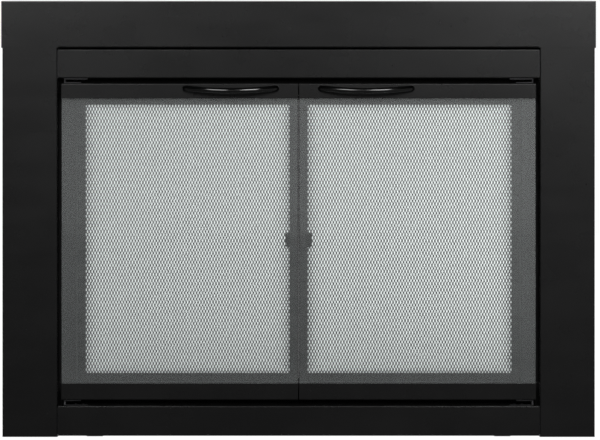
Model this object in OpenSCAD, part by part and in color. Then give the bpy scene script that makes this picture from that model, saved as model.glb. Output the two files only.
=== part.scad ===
// Cabinet-style fireplace door set: a black sheet-steel surround with a header cap, two frameless
// glass doors on pivots, two mesh gates behind them and a sliding draught shutter in the sill.
// X runs to the right, Y into the fireplace, Z up. The origin is on the hearth, at mid width.

/* [Surround] */
// Width over the header
overall_w = 1105; // [1040:5:1250]
// Height from the hearth to the top of the header
overall_h = 810; // [780:1:900]
// Height of the header's face
header_h = 86.5; // [60:0.5:110]
// Face width of a stile
stile_w = 102; // [80:1:130]
// Depth of a stile, from the wall to its face
stile_d = 38; // [36:1:60]
// Thickness of the frame's sheet steel
sheet_t = 1.5; // [1.2:0.1:2]
// Outside radius of a bend in the sheet
bend_r = 2.5; // [2.2:0.1:4]
// Clearance between the header cap and the stiles inside it
wrap_gap = 0.5; // [0.3:0.1:1]
// Width of a lip folded behind a stile
stile_lip = 16; // [12:1:24]
// Depth of the header's lower lip
header_lip = 18; // [12:1:24]

/* [Rails] */
// Height of the top rail's face
top_rail_h = 54.5; // [48:0.5:70]
// Height of the bottom rail's face
bottom_rail_h = 56; // [50:0.5:70]
// Gap between the header and the top rail
top_rail_gap = 2.5; // [2:0.5:8]
// Height of the bottom rail above the hearth
bottom_rail_lift = 2; // [1:0.5:6]
// How far the rails lie behind the stiles' faces
rail_setback = 1.5; // [0.5:0.5:4]
// Gap between a rail's end and the stile
rail_end_gap = 1.5; // [1:0.5:3]
// Width of the lips folded behind a rail
rail_lip = 14; // [12:1:18]

/* [Liner] */
// Distance from the wall forward to the liner's face
liner_d = 14; // [10:1:16]
// How far the liner reaches behind the wall's plane
liner_reach = 35; // [20:1:60]
// Width of the jamb strip that shows beside a gate
jamb_w = 34.5; // [30:0.5:45]
// Height of the head's underside below the door's top edge
head_drop = 21; // [14:0.5:26]
// Height of the head's face above the header's lower edge
head_face_rise = 12; // [6:1:40]
// Height of the sill's top above the door's lower edge
sill_rise = 33; // [32:0.5:34]

/* [Glass doors] */
// Gap between a door and its stile
door_side_gap = 7.5; // [7:0.5:14]
// Gap between the two doors
door_meet_gap = 2; // [1:0.5:4]
// Gap above the doors
door_top_gap = 9; // [8:0.5:14]
// Gap below the doors
door_bottom_gap = 10.5; // [9:0.5:16]
// How far a door lies behind the stiles' faces
door_setback = 3; // [2:0.5:5]
// Depth of a door's rails
door_d = 12; // [11:0.5:13]
// Height of a door's top rail
door_top_rail_h = 28; // [26:0.5:36]
// Height of a door's bottom rail
door_bottom_rail_h = 30.5; // [27:0.5:31]
// Depth of the glass
glass_t = 5; // [4:0.5:5]
// Depth of glass held in a door's top rail
glass_bite = 9; // [7:0.5:10]
// Thickness of the glass gasket under the edge of the pane
gasket_base = 3; // [2:0.5:4]
// Height of the gasket's sides
gasket_side = 7; // [5:0.5:8]

/* [Door pivots] */
// Distance of a pivot pin from the door's outer edge
pin_inset = 6; // [5:0.5:10]
// Radius of a pivot pin
pin_r = 3; // [2.5:0.1:3.5]
// Running clearance around a pin
pin_gap = 0.05; // [0.03:0.01:0.1]
// Length of a pivot plate on the frame
frame_plate_l = 47; // [40:1:60]
// Length of a pivot plate on the door
door_plate_l = 35; // [28:1:45]
// Thickness of the pivot plates
plate_t = 2; // [1.5:0.1:2.5]

/* [Handles] */
// Length of a handle
handle_l = 180; // [140:1:220]
// Distance of a handle's middle from the middle of the door set
handle_x = 126; // [120:1:230]
// How far a handle's outer face stands off the door
handle_reach = 31; // [26:1:40]
// Height of a handle's section at its feet
handle_foot_h = 12; // [10:0.5:14]
// Height of a handle's section at the middle
handle_mid_h = 7; // [6:0.5:10]
// Depth of a handle's section
handle_deep = 9; // [8:0.5:11]
// How far a handle's middle hangs below its feet
handle_sag = 2.5; // [0:0.5:5]
// Height of a handle's feet above the lower edge of the door's top rail
handle_lift = 16; // [15:0.5:18]

/* [Mesh gates] */
// Width of a gate frame's outer member
gate_member = 15.5; // [14:0.5:20]
// Width of a gate frame's meeting member
gate_meet = 17; // [14:0.5:20]
// Height of a gate frame's top member
gate_head = 16.5; // [14:0.5:20]
// Height of a gate frame's bottom member
gate_foot = 15; // [13:0.5:20]
// Thickness of the gate frame's sheet
gate_t = 1.2; // [1:0.1:1.5]
// Depth of a gate frame
gate_d = 7; // [6.5:0.5:8]
// How far a gate lies behind the liner's face
gate_setback = 2.5; // [2:0.5:4]
// Gap between a gate and the jamb or the head
gate_gap = 2; // [2:0.5:3]
// Gap between a gate and the sill
gate_floor_gap = 1.5; // [1:0.5:3]
// Distance of a gate's pivot from its outer edge
gate_pin_inset = 4; // [3.5:0.5:5]
// Radius of a gate's pivot pins
gate_pin_r = 2; // [1.5:0.1:2.2]
// Radius of the mesh window's corners
window_r = 4; // [2:0.5:8]
// Width of a mesh diamond
diamond_w = 5.57; // [5:0.01:8]
// Height of a mesh diamond
diamond_h = 11.43; // [9:0.01:16]
// Width of a mesh strand
strand_w = 1.3; // [1:0.1:1.6]
// Thickness of one layer of strands
strand_t = 0.6; // [0.5:0.1:0.8]
// How far the mesh reaches behind the frame's members
mesh_tuck = 5; // [3:0.5:6]
// Height of a pull tab
tab_h = 28; // [20:1:40]
// Height of a pull tab's middle above the hearth
tab_z = 366; // [300:1:500]
// Width of the pull tab's flap, seen from the front
tab_flap = 8.5; // [5:0.5:12]

/* [Draught shutter] */
// Number of vent slots in the sill
vent_count = 14; // [6:1:15]
// Spacing of the vent slots
vent_pitch = 26; // [24:1:28]
// Width of a vent slot
vent_w = 10; // [7:0.5:10]
// Height of a vent slot
vent_h = 24; // [16:1:25]
// Travel of the shutter
shutter_travel = 13; // [10:0.5:13]

/* [Fixings] */
// Radius of a screw
screw_r = 1.9; // [1.5:0.1:2.2]
// Radius of a screw's head
screw_head_r = 3.8; // [3:0.1:4.2]
// Height of a screw's head
screw_head_h = 1.8; // [1.5:0.1:2]
// Clearance around a screw in its hole
screw_gap = 0.1; // [0.05:0.01:0.2]
// Gap left between pieces that are screwed face to face
seat = 0.05; // [0.02:0.01:0.1]
// Distance of a floor bracket from the middle
floor_bracket_x = 380; // [340:5:390]
// Spacing of the anchor holes in a floor bracket
anchor_pitch = 24; // [20:1:26]
// Radius of an anchor hole
anchor_r = 3.5; // [3:0.1:4]
// Distance of a lintel clamp from the middle
lintel_x = 300; // [200:5:360]
// Height of the clamp bolt above the head
clamp_h = 42; // [30:1:50]
// Radius of the clamp bolt
bolt_r = 3; // [2.5:0.1:3.5]
// Thickness of the brackets
bracket_t = 2.5; // [2:0.1:3]
// Width of a bracket
bracket_w = 30; // [24:1:36]

/* [Hidden] */
wall_y = 13;                                   // the wall's plane in the part's own frame
half_t = sheet_t / 2;

stile_out = overall_w / 2 - sheet_t - wrap_gap;
stile_in = stile_out - stile_w;
stile_top = overall_h - sheet_t - wrap_gap;
stile_y = -stile_d;
header_y = stile_y - wrap_gap - sheet_t;
header_z = overall_h - header_h;
flange_gap = 0.5;                              // a foot flange clears the folds beside it by this

rail_x = stile_in - rail_end_gap;
rail_y = stile_y + rail_setback;
top_rail_z1 = header_z - top_rail_gap;
top_rail_z0 = top_rail_z1 - top_rail_h;
bottom_rail_z0 = bottom_rail_lift;
bottom_rail_z1 = bottom_rail_z0 + bottom_rail_h;

liner_y = -liner_d;
liner_back = liner_y + sheet_t;                // rear face of the liner's plates
liner_x = stile_in - seat;                     // the liner fills the width between the stiles
head_face_z = header_z + head_face_rise;
door_z0 = bottom_rail_z1 + door_bottom_gap;
door_z1 = top_rail_z0 - door_top_gap;
head_z = door_z1 - head_drop;
sill_z = door_z0 + sill_rise;
jamb_x = stile_in - jamb_w;

door_out = stile_in - door_side_gap;
door_in = door_meet_gap / 2;
door_y = stile_y + door_setback;
door_back = door_y + door_d;
pane_y = door_y + (door_d - glass_t) / 2;
pane_z0 = door_z0 + sheet_t + gasket_base + seat;
pane_z1 = door_z1 - door_top_rail_h + glass_bite;
pane_side = 0.3;                               // the pane's edges lie this far inside the rails' ends
gasket_bevel = bend_r - sheet_t;               // the gasket's base corners clear the bend inside a rail
clamp_screw_count = 3;
clamp_screw_end = 110;                         // from a rail's end to its first clamp screw
clamp_screw_x = [for (i = [0 : clamp_screw_count - 1]) door_in + clamp_screw_end
    + i * (door_out - door_in - 2 * clamp_screw_end) / (clamp_screw_count - 1)];
top_clamp_z = pane_z1 - gasket_side / 2;
bottom_clamp_z = pane_z0 + gasket_side / 2;
rear_lip_drop = 2;                             // a door's rear lip ends this far short of its face
rear_lip_short = 6;
pin_x = door_out - pin_inset;
pin_y = door_y + door_d / 2;

gate_out = jamb_x - gate_gap;
gate_in = seat;                                // the gates all but touch where they meet
gate_y = liner_y + gate_setback;
gate_back = gate_y + gate_d;
gate_z0 = sill_z + gate_floor_gap;
gate_z1 = head_z - gate_gap;
gate_pin_x = gate_out - gate_pin_inset;
gate_pin_y = gate_y + gate_d / 2;
window_x0 = gate_in + gate_meet;
window_x1 = gate_out - gate_member;
window_z0 = gate_z0 + gate_foot;
window_z1 = gate_z1 - gate_head;
mesh_y = gate_y + gate_t + seat;
mesh_x0 = window_x0 - mesh_tuck;
mesh_x1 = window_x1 + mesh_tuck;
mesh_z0 = window_z0 - mesh_tuck;
mesh_z1 = window_z1 + mesh_tuck;
mesh_w = mesh_x1 - mesh_x0;
mesh_h = mesh_z1 - mesh_z0;
layer_gap = 0.05;
retainer_y = mesh_y + 2 * strand_t + layer_gap + seat;
retainer_w = mesh_tuck + 2;
tab_t = 1.2;
tab_rise = 4.5;                                // how far the tab's flap stands forward
tab_corner = 2.5;
tab_inset = 1.5;                               // the tab starts and bends this far from its member's edges
rivet_r = 1.6;
rivet_head_r = rivet_r + 1.2;
rivet_head_h = 0.8;
rivet_x = gate_in + gate_meet * 0.44;
rivet_z = [tab_z - tab_h * 0.28, tab_z + tab_h * 0.28];
gate_block = 9;                                // height of a block that holds a gate's pin

handle_z = door_z1 - door_top_rail_h + handle_lift;
handle_half = (handle_l - handle_deep) / 2;    // from a handle's middle to the middle of a foot
handle_steps = 28;
handle_sides = 16;

shutter_t = 1.2;
slide_gap = 0.3;
guide_t = 1.5;
guide_lip = 3;
shutter_z1 = sill_z - sheet_t - 4;
shutter_z0 = bottom_rail_z1 + 3;
vent_z = (shutter_z0 + shutter_z1) / 2;
vent_x0 = -(vent_count - 1) * vent_pitch / 2;  // middle of the first vent slot
shutter_end = 14;                              // plate left beyond the last slot
knob_x = vent_x0 - vent_pitch;
knob_r = 6;
knob_shank_r = 2.5;
knob_front = door_back + 1.5;
shutter_x0 = knob_x - shutter_end;
shutter_x1 = -vent_x0 + vent_w / 2 + 4;
shutter_y = liner_back + 0.1;
guide_y = shutter_y + shutter_t + 0.2;

clamp_z = head_z + clamp_h;
lintel_back = liner_reach - 5;
clamp_tip = 6;
floor_reach = 40;
floor_leg_h = bottom_rail_z1 - 6;
floor_screw_z = [bottom_rail_z0 + 22, bottom_rail_z0 + 34];
anchor_y = 16;                                 // middle of the two anchor holes, behind the wall's plane
lintel_screw_y = [2, 16];
bracket_bend = bracket_t + 1.5;
bolt_head_h = 4;
nut_h = 5;

catch_x0 = 24;
catch_l = 42;
catch_h = 13;
catch_z = door_z1 - door_top_rail_h + 10;
catch_front = door_back + 0.5;
catch_wall = 4;                                // housing beside the magnet, along X
catch_edge = 3;                                // housing above and below the magnet
magnet_deep = 3;
magnet_gap = 0.1;
gate_catch = [8, 34, 11];                      // first and last X of a gate's catch block, and its height

liner_screw_count = 6;
liner_screw_end = 19;                          // from the stile to the first liner screw
liner_screw_x = [for (i = [0 : liner_screw_count - 1]) stile_in - liner_screw_end
    - i * 2 * (stile_in - liner_screw_end) / (liner_screw_count - 1)];
top_screw_z = [top_rail_z0 + rail_lip / 2, top_rail_z1 - rail_lip / 2];
bottom_screw_z = [bottom_rail_z0 + rail_lip / 2, bottom_rail_z1 - rail_lip / 2];
stile_screw_y = (rail_y + liner_y) / 2;
jamb_screw_end = 70;                           // from the head or the sill to the nearest jamb screw
jamb_screw_z = [sill_z + jamb_screw_end, (sill_z + head_z) / 2, head_z - jamb_screw_end];
jamb_screw_y = liner_y / 2;
header_screw_x = [stile_in + stile_w / 4, stile_out - stile_w / 4];
header_screw_y = stile_y / 2;
plate_screw_x = [pin_x - frame_plate_l * 0.42, pin_x - frame_plate_l * 0.72];

paint = "#242425";
liner_paint = "#2c2d2e";
zinc = "#b9bbbd";
black_gloss = "#0b0b0c";

$fn = 48;

// ---------------------------------------------------------------- shared shapes

// The children, drawn from the wall's plane, at their place in the part's frame
module placed() { translate([0, wall_y, 0]) children(); }

// The children on the right, or their mirror image on the left
module on_side(side) { mirror([side == "left" ? 1 : 0, 0, 0]) children(); }

// The children on both sides
module on_both_sides() { for (side = ["left", "right"]) on_side(side) children(); }

// A box between two corners
module block(low, high) { translate(low) cube(high - low); }

// A rectangle between two corners
module patch(low, high) { translate(low) square(high - low); }

// A profile drawn in Y and Z, carried along X
module along_x(x0, x1) {
    translate([x0, 0, 0]) rotate([90, 0, 90]) linear_extrude(height = x1 - x0) children();
}

// A profile drawn in X and Y, carried up Z
module along_z(z0, z1) { translate([0, 0, z0]) linear_extrude(height = z1 - z0) children(); }

// A profile drawn in X and Z, carried along Y
module along_y(y0, y1) {
    translate([0, y1, 0]) rotate([90, 0, 0]) linear_extrude(height = y1 - y0) children();
}

// A pin along X, Y or Z between two places
module pin_x_way(x0, x1, y, z, r) {
    translate([x0, y, z]) rotate([0, 90, 0]) cylinder(h = x1 - x0, r = r);
}
module pin_y_way(x, y0, y1, z, r) {
    translate([x, y1, z]) rotate([90, 0, 0]) cylinder(h = y1 - y0, r = r);
}
module pin_z_way(x, y, z0, z1, r) { translate([x, y, z0]) cylinder(h = z1 - z0, r = r); }

function unit(v) = v / norm(v);

// Bent sheet: the middle line is a path of straight legs at right angles, and every corner
// between two legs is a quarter ring
module bent_sheet(path, t = sheet_t, r = bend_r) {
    last = len(path) - 1;
    mid_r = r - t / 2;
    for (i = [0 : last - 1]) {
        way = unit(path[i + 1] - path[i]);
        start = path[i] + (i > 0 ? mid_r : 0) * way;
        end = path[i + 1] - (i < last - 1 ? mid_r : 0) * way;
        side = [abs(way.y), abs(way.x)] * t / 2;
        low = [min(start.x, end.x), min(start.y, end.y)] - side;
        high = [max(start.x, end.x), max(start.y, end.y)] + side;
        patch(low, high);
    }
    for (i = [1 : last - 1]) {
        before = unit(path[i] - path[i - 1]);
        after = unit(path[i + 1] - path[i]);
        corner = before - after;
        translate(path[i] + mid_r * (after - before)) intersection() {
            difference() {
                circle(r = r);
                circle(r = r - t);
            }
            translate([min(0, corner.x), min(0, corner.y)] * (r + 1)) square(r + 1);
        }
    }
}

// A rectangle with round corners
module round_patch(low, high, r) {
    patch([low.x + r, low.y], [high.x - r, high.y]);
    patch([low.x, low.y + r], [high.x, high.y - r]);
    for (x = [low.x + r, high.x - r], y = [low.y + r, high.y - r]) translate([x, y]) circle(r = r);
}

// A pan-head screw along Y: its head's seat, its head towards the rear, its tip to the front
module rear_screw(x, seat_y, tip_y, z) {
    pin_y_way(x, tip_y, seat_y + seat, z, screw_r);
    pin_y_way(x, seat_y + seat, seat_y + seat + screw_head_h, z, screw_head_r);
}

// ---------------------------------------------------------------- surround

// Screw places on a rail, behind its upper and lower lips
module liner_screw_holes(heights, y0, y1) {
    for (x = liner_screw_x, z = heights) pin_y_way(x, y0, y1, z, screw_r + screw_gap);
}

// Cap over the stiles: face, top, closed ends and, between the stiles, a lower and a rear lip
module header() color(paint) placed() {
    top = [header_y + half_t, overall_h - half_t];
    low = [header_y + half_t, header_z + half_t];
    difference() {
        union() {
            along_x(-rail_x, rail_x) bent_sheet([[-half_t, overall_h - stile_lip], [-half_t, top.y],
                top, low, [header_y + header_lip, low.y]]);
            for (x0 = [-stile_out - wrap_gap, rail_x])
                along_x(x0, x0 + stile_out + wrap_gap - rail_x)
                    bent_sheet([[0, top.y], top, [low.x, header_z]]);
            for (x0 = [-overall_w / 2, overall_w / 2 - sheet_t]) along_x(x0, x0 + sheet_t) {
                patch([header_y, header_z], [0, overall_h - bend_r]);
                patch([header_y + bend_r, header_z], [0, overall_h]);
                translate([header_y + bend_r, overall_h - bend_r]) circle(r = bend_r);
            }
        }
        on_both_sides() for (x = header_screw_x)
            pin_z_way(x, header_screw_y, overall_h - 2 * sheet_t, overall_h - 0.4, screw_r + screw_gap);
    }
}

// Lipped channel with a foot flange on the hearth and a top flange under the header
module stile(side) color(paint) placed() on_side(side) {
    inner = stile_in + half_t;
    outer = stile_out - half_t;
    face = stile_y + half_t;
    difference() {
        union() {
            along_z(0, stile_top) bent_sheet([[stile_in + stile_lip, -half_t], [inner, -half_t],
                [inner, face], [outer, face], [outer, -half_t], [stile_out - stile_lip, -half_t]]);
            for (z = [0, stile_top - sheet_t])
                block([stile_in + sheet_t + flange_gap, face, z],
                    [stile_out - sheet_t - flange_gap, -sheet_t - flange_gap, z + sheet_t]);
        }
        for (z = concat(top_screw_z, bottom_screw_z))
            pin_x_way(stile_in - 1, stile_in + 3, stile_screw_y, z, screw_r + screw_gap);
        for (z = jamb_screw_z)
            pin_x_way(stile_in - 1, stile_in + 3, jamb_screw_y, z, screw_r + screw_gap);
        for (x = header_screw_x)
            pin_z_way(x, header_screw_y, stile_top - 3, stile_top + 1, screw_r + screw_gap);
    }
}
module left_stile() { stile("left"); }
module right_stile() { stile("right"); }

// Lipped channel between the stiles, open to the rear
module rail(z0, z1, heights) {
    rear = liner_y - half_t - seat;
    difference() {
        along_x(-rail_x, rail_x) bent_sheet([[rear, z0 + rail_lip], [rear, z0 + half_t],
            [rail_y + half_t, z0 + half_t], [rail_y + half_t, z1 - half_t],
            [rear, z1 - half_t], [rear, z1 - rail_lip]]);
        liner_screw_holes(heights, rear - sheet_t, rear + sheet_t);
    }
}
module top_rail() color(paint) placed() difference() {
    rail(top_rail_z0, top_rail_z1, top_screw_z);
    on_both_sides() {
        pin_z_way(pin_x, pin_y, top_rail_z0 - 1, top_rail_z0 + 3, pin_r + 0.6);
        for (x = plate_screw_x)
            pin_z_way(x, pin_y, top_rail_z0 - 1, top_rail_z0 + 3, screw_r + screw_gap);
    }
}
module bottom_rail() color(paint) placed() difference() {
    rail(bottom_rail_z0, bottom_rail_z1, bottom_screw_z);
    on_both_sides() for (x = plate_screw_x)
        pin_z_way(x, pin_y, bottom_rail_z1 - 3, bottom_rail_z1 + 1, screw_r + screw_gap);
}

// Angle inside each end of a rail, on the rail's lips and on the stile
module corner_brackets() color(zinc) placed() {
    leg = 30;
    back = liner_y - sheet_t - 2 * seat;
    end = stile_in - seat;
    inset = sheet_t + 1;
    on_both_sides() for (span = [[top_rail_z0, top_rail_z1, top_screw_z],
                                 [bottom_rail_z0, bottom_rail_z1, bottom_screw_z]])
        difference() {
            along_z(span[0] + inset, span[1] - inset) bent_sheet([[end - half_t, rail_y + sheet_t + 1],
                [end - half_t, back - half_t], [end - leg, back - half_t]]);
            for (z = span[2]) {
                pin_x_way(end - 3, end + 1, stile_screw_y, z, screw_r + screw_gap);
                pin_y_way(liner_screw_x[0], back - 3, back + 1, z, screw_r + screw_gap);
            }
        }
}

// ---------------------------------------------------------------- liner

// Angle with its face behind the top rail and the header's lip, its leg over the gates
module head_liner() color(liner_paint) placed() difference() {
    along_x(-liner_x, liner_x) bent_sheet([[liner_y + half_t, head_face_z],
        [liner_y + half_t, head_z + half_t], [liner_reach, head_z + half_t]]);
    liner_screw_holes(top_screw_z, liner_y - 1, liner_back + 1);
    on_both_sides() {
        pin_z_way(gate_pin_x, gate_pin_y, head_z - 1, head_z + sheet_t + 1, gate_pin_r + pin_gap);
        for (y = lintel_screw_y)
            pin_z_way(lintel_x, y, head_z - 1, head_z + sheet_t + 1, screw_r + screw_gap);
    }
}

// One vent slot, upright, with round ends, in X and Z
module vent_slot(x) {
    r = vent_w / 2;
    patch([x - r, vent_z - vent_h / 2 + r], [x + r, vent_z + vent_h / 2 - r]);
    for (z = [vent_z - vent_h / 2 + r, vent_z + vent_h / 2 - r]) translate([x, z]) circle(r = r);
}

// Angle with its face behind the bottom rail, its vent slots and its leg under the gates
module sill() color(liner_paint) placed() difference() {
    along_x(-liner_x, liner_x) bent_sheet([[liner_y + half_t, bottom_rail_z0 + 2],
        [liner_y + half_t, sill_z - half_t], [liner_reach, sill_z - half_t]]);
    liner_screw_holes(bottom_screw_z, liner_y - 1, liner_back + 1);
    along_y(liner_y - 1, liner_back + 1) {
        for (i = [0 : vent_count - 1]) vent_slot(vent_x0 + i * vent_pitch);
        patch([knob_x, vent_z - knob_shank_r - slide_gap],
            [knob_x + shutter_travel, vent_z + knob_shank_r + slide_gap]);
        for (x = [knob_x, knob_x + shutter_travel])
            translate([x, vent_z]) circle(r = knob_shank_r + slide_gap);
    }
    on_both_sides() {
        pin_z_way(gate_pin_x, gate_pin_y, sill_z - sheet_t - 1, sill_z + 1, gate_pin_r + pin_gap);
        for (z = floor_screw_z)
            pin_y_way(floor_bracket_x, liner_y - 1, liner_back + 1, z, screw_r + screw_gap);
    }
}

// Channel beside a gate, screwed to the stile
module jamb(side) color(liner_paint) placed() on_side(side) {
    outer = stile_in - seat - half_t;
    difference() {
        along_z(sill_z + seat, head_z - seat) bent_sheet([[jamb_x + half_t, liner_reach],
            [jamb_x + half_t, liner_y + half_t], [outer, liner_y + half_t], [outer, -half_t]]);
        for (z = jamb_screw_z)
            pin_x_way(outer - 2, outer + 2, jamb_screw_y, z, screw_r + screw_gap);
    }
}
module left_jamb() { jamb("left"); }
module right_jamb() { jamb("right"); }

// ---------------------------------------------------------------- fixings of the frame

module liner_screws() color(zinc) placed()
    for (x = liner_screw_x, z = concat(top_screw_z, bottom_screw_z))
        rear_screw(x, liner_back, liner_y - 6, z);

module stile_screws() color(zinc) placed() on_both_sides()
    for (z = concat(top_screw_z, bottom_screw_z)) {
        face = stile_in + sheet_t + seat;
        pin_x_way(stile_in - 6, face, stile_screw_y, z, screw_r);
        pin_x_way(face, face + screw_head_h, stile_screw_y, z, screw_head_r);
    }

module jamb_screws() color(zinc) placed() on_both_sides() for (z = jamb_screw_z) {
    face = stile_in - sheet_t - 2 * seat;
    pin_x_way(face, stile_in + 5, jamb_screw_y, z, screw_r);
    pin_x_way(face - screw_head_h, face, jamb_screw_y, z, screw_head_r);
}

module header_screws() color(zinc) placed() on_both_sides() for (x = header_screw_x) {
    face = stile_top - sheet_t - seat;
    pin_z_way(x, header_screw_y, face, overall_h - 0.5, screw_r);
    pin_z_way(x, header_screw_y, face - screw_head_h, face, screw_head_r);
}

// ---------------------------------------------------------------- door pivots

// A pivot plate's outline in X and Y, with a round end about the pin
module pivot_outline(length) {
    half_w = door_d / 2 - 1;
    patch([pin_x - length + half_w, pin_y - half_w], [pin_x, pin_y + half_w]);
    translate([pin_x, pin_y]) circle(r = half_w);
}

// Plates under the top rail, drilled for the doors' upper pins
module top_pivot_plates() color(zinc) placed() on_both_sides() difference() {
    along_z(top_rail_z0 - seat - plate_t, top_rail_z0 - seat) pivot_outline(frame_plate_l);
    pin_z_way(pin_x, pin_y, top_rail_z0 - 10, top_rail_z0 + 1, pin_r + pin_gap);
    for (x = plate_screw_x)
        pin_z_way(x, pin_y, top_rail_z0 - 10, top_rail_z0 + 1, screw_r + screw_gap);
}

// Plates on the bottom rail, each with a pin and the conical shoulder that carries the door
module bottom_pivot_plates() color(zinc) placed() on_both_sides() {
    top = bottom_rail_z1 + seat + plate_t;
    shoulder = door_z0 - plate_t - seat;
    difference() {
        along_z(bottom_rail_z1 + seat, top) pivot_outline(frame_plate_l);
        for (x = plate_screw_x)
            pin_z_way(x, pin_y, bottom_rail_z1 - 1, top + 1, screw_r + screw_gap);
    }
    translate([pin_x, pin_y, top - 0.5])
        cylinder(h = shoulder - top + 0.5, r1 = pin_r + 1.8, r2 = pin_r + 0.8);
    pin_z_way(pin_x, pin_y, top, door_z0 + 4, pin_r);
}

module pivot_screws() color(zinc) placed() on_both_sides() for (x = plate_screw_x) {
    low = bottom_rail_z1 + 2 * seat + plate_t;
    high = top_rail_z0 - 2 * seat - plate_t;
    pin_z_way(x, pin_y, low - 9, low, screw_r);
    pin_z_way(x, pin_y, low, low + screw_head_h, screw_head_r);
    pin_z_way(x, pin_y, high, high + 9, screw_r);
    pin_z_way(x, pin_y, high - screw_head_h, high, screw_head_r);
}

// ---------------------------------------------------------------- catches

// Housings on the head's face, behind the doors' top rails
module door_catches() color(black_gloss) placed() on_both_sides() difference() {
    block([catch_x0, catch_front, catch_z], [catch_x0 + catch_l, liner_y - seat, catch_z + catch_h]);
    block([catch_x0 + catch_wall, catch_front - 1, catch_z + catch_edge],
        [catch_x0 + catch_l - catch_wall, catch_front + magnet_deep, catch_z + catch_h - catch_edge]);
}
module catch_magnets() color("#55575a") placed() on_both_sides() {
    wall = catch_wall + magnet_gap;
    edge = catch_edge + magnet_gap;
    block([catch_x0 + wall, catch_front, catch_z + edge],
        [catch_x0 + catch_l - wall, catch_front + magnet_deep - seat, catch_z + catch_h - edge]);
}

// Blocks under the head, behind the gates' top members
module gate_catches() color(black_gloss) placed() on_both_sides()
    block([gate_catch[0], gate_back + 0.4, head_z - gate_catch[2]],
        [gate_catch[1], gate_back + gate_catch[2], head_z - seat]);

// ---------------------------------------------------------------- brackets

// Angles on the sill with a foot on the hearth, drilled for anchors
module floor_brackets() color(zinc) placed() on_both_sides() {
    front = liner_back + seat;
    difference() {
        along_x(floor_bracket_x - bracket_w / 2, floor_bracket_x + bracket_w / 2)
            bent_sheet([[front + bracket_t / 2, floor_leg_h], [front + bracket_t / 2, bracket_t / 2],
                [floor_reach, bracket_t / 2]], bracket_t, bracket_bend);
        for (i = [-1, 1])
            pin_z_way(floor_bracket_x, anchor_y + i * anchor_pitch / 2, -1, bracket_t + 1, anchor_r);
        for (z = floor_screw_z)
            pin_y_way(floor_bracket_x, front - 1, front + bracket_t + 1, z, screw_r + screw_gap);
    }
}

// Angles on the head with an upright that carries the clamp bolt
module lintel_brackets() color(zinc) placed() on_both_sides() {
    foot = head_z + sheet_t + seat;
    difference() {
        along_x(lintel_x - bracket_w / 2, lintel_x + bracket_w / 2)
            bent_sheet([[liner_back + 6, foot + bracket_t / 2],
                [lintel_back - bracket_t / 2, foot + bracket_t / 2],
                [lintel_back - bracket_t / 2, clamp_z + bracket_w / 2]], bracket_t, bracket_bend);
        pin_y_way(lintel_x, lintel_back - bracket_t - 1, lintel_back + 1, clamp_z, bolt_r + screw_gap);
        for (y = lintel_screw_y)
            pin_z_way(lintel_x, y, foot - 1, foot + bracket_t + 1, screw_r + screw_gap);
    }
}

module bracket_screws() color(zinc) placed() on_both_sides() {
    for (z = floor_screw_z)
        rear_screw(floor_bracket_x, liner_back + seat + bracket_t, liner_y - 6, z);
    for (y = lintel_screw_y) {
        face = head_z + sheet_t + bracket_t + 2 * seat;
        pin_z_way(lintel_x, y, head_z - 3, face, screw_r);
        pin_z_way(lintel_x, y, face, face + screw_head_h, screw_head_r);
    }
}

// Bolts that press on the back of the lintel, hexagon heads to the rear
module clamp_bolts() color(zinc) placed() on_both_sides() {
    head = floor_reach - bolt_head_h;
    pin_y_way(lintel_x, clamp_tip, head, clamp_z, bolt_r);
    translate([lintel_x, floor_reach, clamp_z]) rotate([90, 0, 0])
        cylinder(h = bolt_head_h, r = bolt_r * 1.85, $fn = 6);
}
module clamp_nuts() color(zinc) placed() on_both_sides() difference() {
    front = lintel_back - bracket_t - seat;
    translate([lintel_x, front, clamp_z]) rotate([90, 0, 0]) cylinder(h = nut_h, r = bolt_r * 1.9, $fn = 6);
    pin_y_way(lintel_x, front - nut_h - 1, front + 1, clamp_z, bolt_r + pin_gap);
}

// ---------------------------------------------------------------- draught shutter

// Strips on the sill's rear that hold the shutter by its edges
module damper_guides() color(liner_paint) placed() {
    x1 = shutter_x1 + shutter_travel;
    for (edge = [[shutter_z0 - slide_gap, -1], [shutter_z1 + slide_gap, 1]]) {
        outer = edge[0] + edge[1] * 2.4;
        inner = edge[0] - edge[1] * guide_lip;
        along_x(shutter_x0, x1) {
            patch([liner_back + seat, min(edge[0], outer)], [guide_y + guide_t, max(edge[0], outer)]);
            patch([guide_y, min(inner, outer)], [guide_y + guide_t, max(inner, outer)]);
        }
    }
}

// Plate with the same slots as the sill, half a pitch out of step while it is shut
module damper_shutter() color(liner_paint) placed() difference() {
    block([shutter_x0, shutter_y, shutter_z0], [shutter_x1, shutter_y + shutter_t, shutter_z1]);
    along_y(shutter_y - 1, shutter_y + shutter_t + 1)
        for (i = [0 : vent_count - 1]) vent_slot(vent_x0 + i * vent_pitch - shutter_travel);
    pin_y_way(knob_x, shutter_y - 1, shutter_y + shutter_t + 1, vent_z, knob_shank_r + pin_gap);
}

// Turned knob in front of the sill, its shank through the slot and the shutter
module damper_knob() color(black_gloss) placed() {
    translate([knob_x, 0, vent_z]) rotate([90, 0, 0]) rotate_extrude() {
        patch([0, -(shutter_y + shutter_t + 2)], [knob_shank_r, -liner_y + 1]);
        patch([0, -(shutter_y + shutter_t + 2)], [knob_shank_r + 2, -(shutter_y + shutter_t + 0.1)]);
        polygon([[0, -liner_y + 0.4], [knob_r - 2, -liner_y + 0.4], [knob_r - 2.5, -liner_y + 3],
            [knob_r, -knob_front - 2.5], [knob_r, -knob_front - 0.8], [knob_r - 0.8, -knob_front],
            [0, -knob_front]]);
    }
}

// ---------------------------------------------------------------- glass doors

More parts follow.
